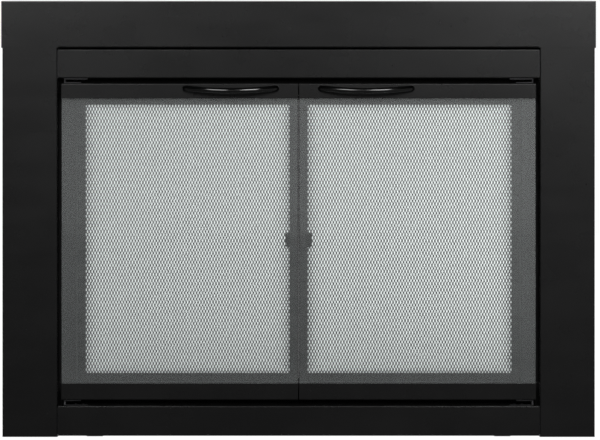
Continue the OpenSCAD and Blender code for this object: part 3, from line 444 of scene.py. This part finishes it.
def hex_nut(points):
    """A nut round its thread: the outline of a hexagon turned off at its corners, and a ribbed hole."""
    low, high = points.min(0), points.max(0)
    middle = (low + high) / 2
    around = 48
    radius = np.hypot(points[:, 0] - middle[0], points[:, 2] - middle[2])
    theta, apothem, six, off = hexagon(radius.max(), around)
    tall = high[1] - low[1]
    inner = np.linspace(tall, 0, 22)[:, None]
    share = (inner / BOLT_PITCH - theta / (2 * math.pi)) % 1.0
    flat = np.full(around, apothem * 0.96)
    along = np.concatenate([[np.zeros(around), off + 0.05 * MM, tall - off - 0.05 * MM,
                             np.full(around, tall)], np.tile(inner, (1, around))])
    out = np.concatenate([[flat, six, six, flat],
                          radius.min() + NUT_DEPTH * (1 - 2 * np.abs(share - 0.5))])
    spots = np.stack([out * np.cos(theta), out * np.sin(theta), along], -1).reshape(-1, 3)
    faces = grid_faces(len(out), around, closed=True).tolist()
    return stood(spots, (middle[0], low[1], middle[2]), (0, 1, 0)), faces


def ribbed_knob(node):
    """A turned knob with a smooth neck, a ribbed grip and a dished face. The radius is the
    outline's less share RIB_DEPTH (1 + cos(KNOB_RIBS angle)) / 2. The outline holds height, radius
    and share, drawn for a knob 13.2 long and 12 wide, and is scaled to the node."""
    low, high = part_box(node)
    middle = (low + high) / 2
    around = 120
    outline = np.array([(0.0, 2.3, 0), (0.1, 4.4, 0), (1.8, 4.5, 0), (1.95, 2.5, 0), (4.9, 2.5, 0),
                        (5.0, 3.7, 0), (6.2, 3.5, 0), (8.0, 4.2, 0), (9.3, 5.6, 0.4),
                        (10.4, 6.0, 1), (12.2, 6.0, 1), (12.9, 5.6, 0.6), (13.2, 5.0, 0),
                        (13.1, 3.9, 0), (12.9, 2.0, 0)])
    along, out, share = (outline * [(high.y - low.y) / 13.2, (high.x - low.x) / 12, RIB_DEPTH]).T
    radius = out[:, None] - share[:, None] * (0.5 + 0.5 * np.cos(KNOB_RIBS * angles(around)))
    points, faces = turned(along[:, None], radius)
    return stood(points, (middle.x, high.y, middle.z), (0, -1, 0)), faces


# ---------------------------------------------------------------- nodes for the finishes

def add(tree, kind, values=(), **settings):
    """A shader node with its settings, its inputs set to values or joined to outputs."""
    node = tree.nodes.new(kind)
    for name, value in settings.items():
        setattr(node, name, value)
    for name, value in dict(values).items():
        if isinstance(value, bpy.types.NodeSocket):
            tree.links.new(value, node.inputs[name])
        else:
            node.inputs[name].default_value = value
    return node


def group(name, inputs, outputs):
    """A shader node group with number or vector inputs and outputs, and its two end nodes."""
    tree = bpy.data.node_groups.new(name, "ShaderNodeTree")
    for label, kind, value in inputs:
        socket = tree.interface.new_socket(label, in_out="INPUT", socket_type="NodeSocket" + kind)
        if value is not None:
            socket.default_value = value
    for label, kind in outputs:
        tree.interface.new_socket(label, in_out="OUTPUT", socket_type="NodeSocket" + kind)
    return tree, tree.nodes.new("NodeGroupInput"), tree.nodes.new("NodeGroupOutput")


def placed_group(tree, which, **values):
    """The outputs of a group placed in a material's tree, with its inputs set."""
    return add(tree, "ShaderNodeGroup", values, node_tree=which).outputs


def math_node(tree, operation, *values, clamp=False):
    """The result of one operation on up to three values."""
    return add(tree, "ShaderNodeMath", dict(enumerate(values)), operation=operation,
               use_clamp=clamp).outputs[0]


def product(tree, *values):
    """Several values multiplied."""
    total = values[0]
    for value in values[1:]:
        total = math_node(tree, "MULTIPLY", total, value)
    return total


def blend(tree, share, first, second):
    """A value that goes from the first to the second with a share from 0 to 1."""
    return add(tree, "ShaderNodeMix", {"Factor": share, "A": first, "B": second}).outputs["Result"]


def noise(tree, place, scale, detail=2.0, roughness=0.5):
    """Soft random waves over a place, about 0.5."""
    node = add(tree, "ShaderNodeTexNoise", {"Vector": place, "Scale": scale, "Detail": detail,
                                            "Roughness": roughness})
    return node.outputs["Fac"]


def spread(tree, value, low, high, to_low, to_high):
    """A soft step from to_low to to_high while a value goes from low to high."""
    node = add(tree, "ShaderNodeMapRange", {"Value": value, "From Min": low, "From Max": high,
                                            "To Min": to_low, "To Max": to_high},
               interpolation_type="SMOOTHSTEP")
    return node.outputs["Result"]


def parts_of(tree, vector):
    """The outputs X, Y and Z of a vector."""
    return add(tree, "ShaderNodeSeparateXYZ", {0: vector}).outputs


def make_orange_peel():
    """Powder coat's skin: broad soft waves and a fine grain, as a height in metres."""
    tree, start, end = group("orange_peel", [("Place", "Vector", None), ("Waves", "Float", 420.0),
                                             ("Grain", "Float", 2600.0), ("Depth", "Float", 6e-6)],
                             [("Height", "Float")])
    place = start.outputs["Place"]
    waves = noise(tree, place, start.outputs["Waves"], 1.0)
    grain = noise(tree, place, start.outputs["Grain"], 1.0)
    mixed = math_node(tree, "MULTIPLY_ADD", grain, 0.35, waves)
    tree.links.new(product(tree, mixed, start.outputs["Depth"]), end.inputs["Height"])
    return tree


def make_settled_dust():
    """Dust and wiping: a mask from 0 to 1, stronger on faces that look up, in soft patches."""
    tree, start, end = group("settled_dust", [("Place", "Vector", None), ("Amount", "Float", 0.3),
                                              ("Patches", "Float", 9.0)],
                             [("Mask", "Float"), ("Smear", "Float")])
    place = start.outputs["Place"]
    normal = add(tree, "ShaderNodeNewGeometry").outputs["Normal"]
    ledge = spread(tree, parts_of(tree, normal)["Z"], 0.2, 0.95, 0.12, 1.0)
    patches = spread(tree, noise(tree, place, start.outputs["Patches"], 4.0, 0.6), 0.35, 0.72, 0.0, 1.0)
    specks = spread(tree, noise(tree, place, 900.0, 1.0), 0.62, 0.78, 0.0, 0.6)
    both = math_node(tree, "MAXIMUM", patches, specks)
    mask = math_node(tree, "MULTIPLY", product(tree, both, ledge), start.outputs["Amount"],
                     clamp=True)
    tree.links.new(mask, end.inputs["Mask"])
    stretched = add(tree, "ShaderNodeMapping", {"Vector": place, "Scale": (3.0, 3.0, 14.0),
                                                "Rotation": (0.2, 0.35, 0.0)}).outputs["Vector"]
    wiped = spread(tree, noise(tree, stretched, 2.2, 3.0), 0.3, 0.7, 0.0, 1.0)
    tree.links.new(wiped, end.inputs["Smear"])
    return tree


def make_drawn_grain():
    """Rolled or turned steel: fine streaks along X as a height in metres and a mask."""
    tree, start, end = group("drawn_grain", [("Place", "Vector", None), ("Fineness", "Float", 900.0),
                                             ("Depth", "Float", 4e-6)],
                             [("Height", "Float"), ("Streak", "Float")])
    long = add(tree, "ShaderNodeMapping", {"Vector": start.outputs["Place"],
                                           "Scale": (0.04, 1.0, 1.0)}).outputs["Vector"]
    streak = noise(tree, long, start.outputs["Fineness"], 2.0)
    tree.links.new(streak, end.inputs["Streak"])
    tree.links.new(product(tree, streak, start.outputs["Depth"]), end.inputs["Height"])
    return tree


orange_peel = make_orange_peel()
settled_dust = make_settled_dust()
drawn_grain = make_drawn_grain()


def finish(name, **plain):
    """A material with one Principled shader, its plain values set. Returns material, tree, shader
    and the Object coordinates."""
    material = bpy.data.materials.new(name)
    material.use_nodes = True
    tree = material.node_tree
    tree.nodes.clear()
    shader = add(tree, "ShaderNodeBsdfPrincipled")
    for label, value in plain.items():
        shader.inputs[label.replace("_", " ").title().replace("Ior", "IOR")].default_value = value
    out = add(tree, "ShaderNodeOutputMaterial")
    tree.links.new(shader.outputs[0], out.inputs["Surface"])
    return material, tree, shader, add(tree, "ShaderNodeTexCoord").outputs["Object"]


def tinted(tree, shader, mask, clean, dusty):
    """The shader's colour, from clean to dusty by a mask."""
    mix = add(tree, "ShaderNodeMix", {"Factor": mask}, data_type="RGBA")
    mix.inputs["A"].default_value = (*clean, 1)
    mix.inputs["B"].default_value = (*dusty, 1)
    tree.links.new(mix.outputs["Result"], shader.inputs["Base Color"])


def dusted(tree, shader, place, clean, dusty, **values):
    """Dust over a shader's clean colour. Returns the outputs of the dust."""
    dust = placed_group(tree, settled_dust, Place=place, **values)
    tinted(tree, shader, dust["Mask"], clean, dusty)
    return dust


def bumped(tree, shader, height):
    """A shader's skin, raised by a height in metres that changes over it."""
    bump = add(tree, "ShaderNodeBump", {"Height": height, "Distance": 1.0})
    tree.links.new(bump.outputs[0], shader.inputs["Normal"])


def peeled(tree, shader, place, **values):
    """The orange-peel skin of a coat on a shader."""
    bumped(tree, shader, placed_group(tree, orange_peel, Place=place, **values)["Height"])


def roughened(tree, shader, value, *steps):
    """A shader's roughness, as a soft step of a value."""
    tree.links.new(spread(tree, value, *steps), shader.inputs["Roughness"])


def black_paint(name, tone, rough, shine, dust=0.25, dusty=0.05, gloss=1.0):
    """Black powder coat: an orange-peel skin, dust on its ledges and faint wiping marks."""
    material, tree, shader, place = finish(name, specular_ior_level=shine, ior=1.5,
                                           specular_tint=(gloss, gloss, gloss, 1))
    peeled(tree, shader, place)
    specks = dusted(tree, shader, place, tone, (dusty, dusty, dusty * 0.96), Amount=dust)
    worn = spread(tree, specks["Smear"], 0.0, 1.0, rough - 0.01, rough + 0.01)
    rougher = math_node(tree, "MULTIPLY_ADD", specks["Mask"], 0.3, worn)
    tree.links.new(rougher, shader.inputs["Roughness"])
    return material


def liner_paint():
    """Near-black paint inside the surround, glossy only on the faces that lie behind the panes: within
    the doors' width and height, and no deeper than the jambs' faces.
    Everywhere else it is matte, as painted shade in the gaps beside, above and below the doors and
    between jambs and gates."""
    material, tree, shader, place = finish("liner_paint", roughness=0.9, specular_ior_level=0.5,
                                           specular_tint=(0.12, 0.12, 0.12, 1), coat_roughness=0.24,
                                           coat_ior=1.5)
    low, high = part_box("right_glass")
    edge, start, end = high.x, low.z + UNSHADED_ABOVE, high.z - UNSHADED_BELOW
    part = parts_of(tree, place)
    across = spread(tree, math_node(tree, "ABSOLUTE", part["X"]), edge, edge + UNSHADED_FADE, 1.0, 0.0)
    deep = spread(tree, part["Y"], *UNSHADED_DEEP, 1.0, 0.0)
    above = spread(tree, part["Z"], start, start + UNSHADED_FADE, 0.0, 1.0)
    below = spread(tree, part["Z"], end, end + UNSHADED_FADE, 1.0, 0.0)
    # coat weight: gloss only behind the panes; its absence elsewhere is painted shade in the gaps and
    # recesses
    tree.links.new(product(tree, across, deep, above, below, UNSHADED_GLOSS), shader.inputs["Coat Weight"])
    dusted(tree, shader, place, (0.003, 0.003, 0.003), (0.03, 0.03, 0.029), Amount=0.1)
    peeled(tree, shader, place)
    return material


def black_enamel():
    """Gloss black enamel of the handles and the knob."""
    material, tree, shader, place = finish("handle_enamel", specular_ior_level=0.5, ior=1.5)
    peeled(tree, shader, place, Waves=260.0, Depth=1.5e-6)
    specks = dusted(tree, shader, place, (0.001, 0.001, 0.001), (0.03, 0.03, 0.03), Amount=0.03,
                    Patches=30.0)
    roughened(tree, shader, specks["Smear"], 0.0, 1.0, 0.12, 0.2)
    return material


def clear_glass():
    """Tempered glass, faintly green, with a thin haze and with wiping marks in its gloss. Lamps
    shine straight through."""
    material, tree, shader, place = finish("door_glass", transmission_weight=0.973, ior=1.5,
                                           base_color=(0.918, 0.98, 0.965, 1))
    wiped = placed_group(tree, settled_dust, Place=place)["Smear"]
    roughened(tree, shader, wiped, 0.2, 1.0, 0.0, 0.012)
    shade = add(tree, "ShaderNodeLightPath").outputs["Is Shadow Ray"]
    clear = add(tree, "ShaderNodeBsdfTransparent", {"Color": (0.93, 0.88, 0.912, 1)}).outputs[0]
    both = add(tree, "ShaderNodeMixShader", {0: shade, 1: shader.outputs[0], 2: clear}).outputs[0]
    tree.links.new(both, tree.nodes["Material Output"].inputs["Surface"])
    return material


def strand_paint():
    """Thin paint on the slit edges of the mesh, a little lighter where the steel shows through."""
    material, tree, shader, place = finish("mesh_paint", specular_ior_level=0.4, ior=1.5)
    peeled(tree, shader, place, Waves=900.0, Depth=9e-6)
    bare = spread(tree, noise(tree, place, 330.0, 2.0), 0.45, 0.75, 0.0, 1.0)
    tinted(tree, shader, bare, (0.03, 0.031, 0.031), (0.075, 0.077, 0.076))
    roughened(tree, shader, bare, 0.0, 1.0, 0.5, 0.38)
    return material


def blackened_steel():
    """Blackened steel of the fasteners, brackets and pivots, with a drawn grain."""
    material, tree, shader, place = finish("blackened_steel", metallic=1.0)
    grain = placed_group(tree, drawn_grain, Place=place)
    dusted(tree, shader, place, (0.02, 0.02, 0.021), (0.09, 0.085, 0.08), Amount=0.35, Patches=60.0)
    roughened(tree, shader, grain["Streak"], 0.3, 0.7, 0.3, 0.48)
    bumped(tree, shader, grain["Height"])
    return material


def woven_gasket():
    """Glass-fibre tape: a plain weave of two crossed waves."""
    material, tree, shader, place = finish("gasket_weave", roughness=0.9, specular_ior_level=0.2)
    waves = [add(tree, "ShaderNodeTexWave", {"Vector": place, "Scale": 160.0, "Distortion": 0.4},
                 bands_direction=way).outputs["Fac"] for way in "XZ"]
    weave = math_node(tree, "MAXIMUM", *waves)
    tinted(tree, shader, weave, (0.012, 0.012, 0.012), (0.07, 0.068, 0.065))
    bumped(tree, shader, product(tree, weave, 1.5e-4))
    return material


def moulded_plastic():
    """Black moulded housings with a fine spark-eroded grain."""
    material, tree, shader, place = finish("catch_plastic", specular_ior_level=0.4, ior=1.46)
    peeled(tree, shader, place, Waves=3200.0, Grain=7000.0, Depth=9e-6)
    specks = dusted(tree, shader, place, (0.012, 0.012, 0.013), (0.07, 0.07, 0.07), Amount=0.2,
                    Patches=50.0)
    roughened(tree, shader, specks["Smear"], 0.0, 1.0, 0.45, 0.6)
    return material


def ground_magnet():
    """Ground ferrite of the catches' magnets."""
    material, tree, shader, place = finish("catch_magnet", metallic=0.7)
    grain = placed_group(tree, drawn_grain, Place=place, Fineness=1500.0, Depth=6e-6)
    tinted(tree, shader, grain["Streak"], (0.06, 0.06, 0.065), (0.2, 0.2, 0.21))
    roughened(tree, shader, grain["Streak"], 0.3, 0.7, 0.25, 0.45)
    bumped(tree, shader, grain["Height"])
    return material


FRAME_PAINT = black_paint("frame_powder_coat", (0.0052, 0.0052, 0.0053), rough=0.237, shine=0.21)
LINER_PAINT = liner_paint()
GATE_PAINT = black_paint("gate_paint", (0.005, 0.005, 0.005), rough=0.27, shine=0.5, dust=0.1,
                         dusty=0.03, gloss=0.35)
ENAMEL = black_enamel()
GLASS = clear_glass()
MESH_PAINT = strand_paint()
STEEL = blackened_steel()
WEAVE = woven_gasket()
PLASTIC = moulded_plastic()
MAGNET = ground_magnet()


# ---------------------------------------------------------------- the pieces

def shaped(name, shape, body, slot, material, *nodes, smooth=True):
    """A finished piece from a new shape's points and faces."""
    piece(name, mesh_of(name, *shape, smooth), body, slot, material, *nodes)


def fasteners(node, body, ending, make):
    """A node's fasteners, each made from its solid's points with its head, recess and thread."""
    shaped(node + ending, together([make(points) for points in solids(node)]), body, "zinc", STEEL,
           node)


def dress_frame():
    """The surround, the liner and what is fixed to them."""
    for node in ("header", "left_stile", "right_stile", "top_rail", "bottom_rail"):
        folded(node, "frame", "frame_paint", FRAME_PAINT)
    for node in ("head_liner", "sill", "damper_guides"):
        folded(node, "frame", "liner_paint", LINER_PAINT)
    for node in ("left_jamb", "right_jamb"):
        folded(node, "frame", "liner_paint", LINER_PAINT, JAMB_ROUND)
    for node in ("corner_brackets", "top_pivot_plates", "bottom_pivot_plates", "floor_brackets",
                 "lintel_brackets"):
        folded(node, "frame", "zinc", STEEL)
    for node in ("door_catches", "gate_catches"):
        folded(node, "frame", "catch_plastic", PLASTIC, HOUSING_ROUND)
    folded("catch_magnets", "frame", "magnet", MAGNET, MAGNET_ROUND)
    for node in ("liner_screws", "stile_screws", "jamb_screws", "header_screws", "pivot_screws",
                 "bracket_screws"):
        fasteners(node, "frame", "_cut", pan_screw)
    shaped("liner_rear_lips", rear_lips(), "frame", "liner_paint", LINER_PAINT, smooth=False)
    fasteners("clamp_bolts", "frame", "_threaded", hex_bolt)
    fasteners("clamp_nuts", "frame", "_threaded", hex_nut)


def dress_door(side):
    """A glass door: pane, rails, gaskets, handle, pivots and screws."""
    body = side + "_door"
    folded(side + "_glass", body, "glass", GLASS, PANE_ROUND, smooth=False)
    for rail in ("_door_top_rail", "_door_bottom_rail"):
        folded(side + rail, body, "frame_paint", FRAME_PAINT)
    folded(side + "_glass_gaskets", body, "gasket", WEAVE, GASKET_ROUND)
    folded(side + "_door_pivots", body, "zinc", STEEL)
    for screws in ("_clamp_screws", "_handle_screws"):
        fasteners(side + screws, body, "_cut", pan_screw)
    shaped(side + "_handle_bow", bow_handle(side + "_handle"), body, "handle_black", ENAMEL,
           side + "_handle")


def dress_gate(side):
    """A mesh gate: frame, expanded mesh, the ring that holds it, tab, rivets and pins."""
    body = side + "_gate"
    for part in ("_gate_frame", "_mesh_retainer", "_gate_tab"):
        folded(side + part, body, "gate_paint", GATE_PAINT, GATE_ROUND)
    shaped(side + "_mesh_expanded", expanded_mesh(side + "_mesh"), body, "mesh", MESH_PAINT,
           side + "_mesh", smooth=False)
    folded(side + "_tab_rivets", body, "gate_paint", GATE_PAINT, RIVET_ROUND)
    folded(side + "_gate_pins", body, "zinc", STEEL, PIN_ROUND)


def dress_damper():
    """The draught shutter and its knob."""
    folded("damper_shutter", "damper", "liner_paint", LINER_PAINT, SHUTTER_ROUND)
    shaped("damper_knob_turned", ribbed_knob("damper_knob"), "damper", "handle_black", ENAMEL,
           "damper_knob")


dress_frame()
for each in SIDES:
    dress_door(each)
    dress_gate(each)
dress_damper()


# ---------------------------------------------------------------- studio

def make_camera():
    """Square on, far off, with a long lens."""
    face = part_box("header")[0].y
    data = bpy.data.cameras.new("camera")
    data.sensor_width = SENSOR
    data.lens = SENSOR * VIEW_DISTANCE / VIEW_WIDTH
    data.clip_end = VIEW_END
    camera = bpy.data.objects.new("camera", data)
    camera.location = (VIEW_X, face - VIEW_DISTANCE, VIEW_Z)
    camera.rotation_euler = (math.pi / 2, 0, 0)
    bpy.context.scene.collection.objects.link(camera)
    bpy.context.scene.camera = camera


def panel(name, place, watts):
    """A soft panel light that the camera doesn't see, turned to the panels' common aim."""
    data = bpy.data.lights.new(name, "AREA")
    data.shape = "RECTANGLE"
    data.size = PANEL_W
    data.size_y = PANEL_H
    data.energy = watts
    light = bpy.data.objects.new(name, data)
    light.location = place
    way = Vector(PANEL_AIM) - Vector(place)
    light.rotation_euler = way.to_track_quat("-Z", "Y").to_euler()
    light.visible_camera = False
    light.visible_transmission = False
    bpy.context.scene.collection.objects.link(light)


def make_studio():
    """A white room behind the object, dark in front but for a small bright wall square on, which the
    glass mirrors, and two tall soft panels high up in front, the right one stronger."""
    world = bpy.data.worlds.new("studio")
    bpy.context.scene.world = world
    world.use_nodes = True
    tree = world.node_tree
    tree.nodes.clear()
    part = parts_of(tree, add(tree, "ShaderNodeTexCoord").outputs["Generated"])
    behind = spread(tree, part["Y"], *BACK_RISE, 0.0, BACK_LIGHT)
    behind = product(tree, behind, spread(tree, part["X"], *SIDE_ENDS, *BACK_ACROSS))
    wall = math_node(tree, "LESS_THAN", part["Y"], 0.0)
    for name, half in zip("XZ", WALL_HALF):
        off = math_node(tree, "ABSOLUTE", part[name])
        wall = product(tree, wall, spread(tree, off, half, half * WALL_SOFT, 1.0, 0.0))
    rise = spread(tree, part["Z"], *WALL_RISE, 0.0, 1.0)
    wall = product(tree, wall, rise, spread(tree, part["X"], *SIDE_ENDS, *WALL_ACROSS))
    total = math_node(tree, "ADD", math_node(tree, "MAXIMUM", behind, wall), ROOM_LIGHT)
    seen = add(tree, "ShaderNodeLightPath").outputs["Is Camera Ray"]
    mixed = blend(tree, seen, total, 1.0)
    back = add(tree, "ShaderNodeBackground", {"Color": (1, 1, 1, 1), "Strength": mixed})
    out = add(tree, "ShaderNodeOutputWorld")
    tree.links.new(back.outputs[0], out.inputs["Surface"])

    x, y, z = PANEL_PLACE
    panel("panel_left", (-x, y, z), LEFT_WATTS)
    panel("panel_right", (x, y, z), RIGHT_WATTS)
    scene = bpy.context.scene
    scene.view_settings.view_transform = "Standard"
    scene.view_settings.look = "None"


def make_floor():
    """A wide pale floor that brightens with the distance r, as a studio's sweep does: its glow is
    the greater of far - near / r and the least, once behind the object and once, dimmer, before
    it. The camera sees it as white as the ground behind the object."""
    corners = np.array([(-1, -1, 0), (1, -1, 0), (1, 1, 0), (-1, 1, 0)]) * FLOOR_HALF
    floor = bpy.data.objects.new("floor", mesh_of("floor", corners, [[0, 1, 2, 3]]))
    bpy.context.scene.collection.objects.link(floor)
    material, tree, shader, place = finish("floor_sweep", roughness=0.8, specular_ior_level=0.0,
                                           base_color=(*FLOOR_TONE, 1), emission_color=(1, 1, 1, 1))
    distance = add(tree, "ShaderNodeVectorMath", {0: place}, operation="LENGTH").outputs["Value"]
    part = parts_of(tree, place)
    deep = math_node(tree, "ADD", math_node(tree, "ABSOLUTE", part["Y"]), VIEW_DISTANCE)
    side = math_node(tree, "DIVIDE", part["X"], deep)
    both = []
    for (far, near, least), ends, across in (FLOOR_BEFORE, FLOOR_BEHIND):
        glow = math_node(tree, "SUBTRACT", far, math_node(tree, "DIVIDE", near, distance))
        glow = math_node(tree, "MAXIMUM", glow, least)
        both.append(product(tree, glow, spread(tree, side, *ends, *across)))
    behind = spread(tree, part["Y"], *FLOOR_MEET, 0.0, 1.0)
    seen = add(tree, "ShaderNodeLightPath").outputs["Is Camera Ray"]
    glow = blend(tree, seen, blend(tree, behind, *both), 1.0)
    tree.links.new(glow, shader.inputs["Emission Strength"])
    floor.data.materials.append(material)


make_camera()
make_studio()
make_floor()
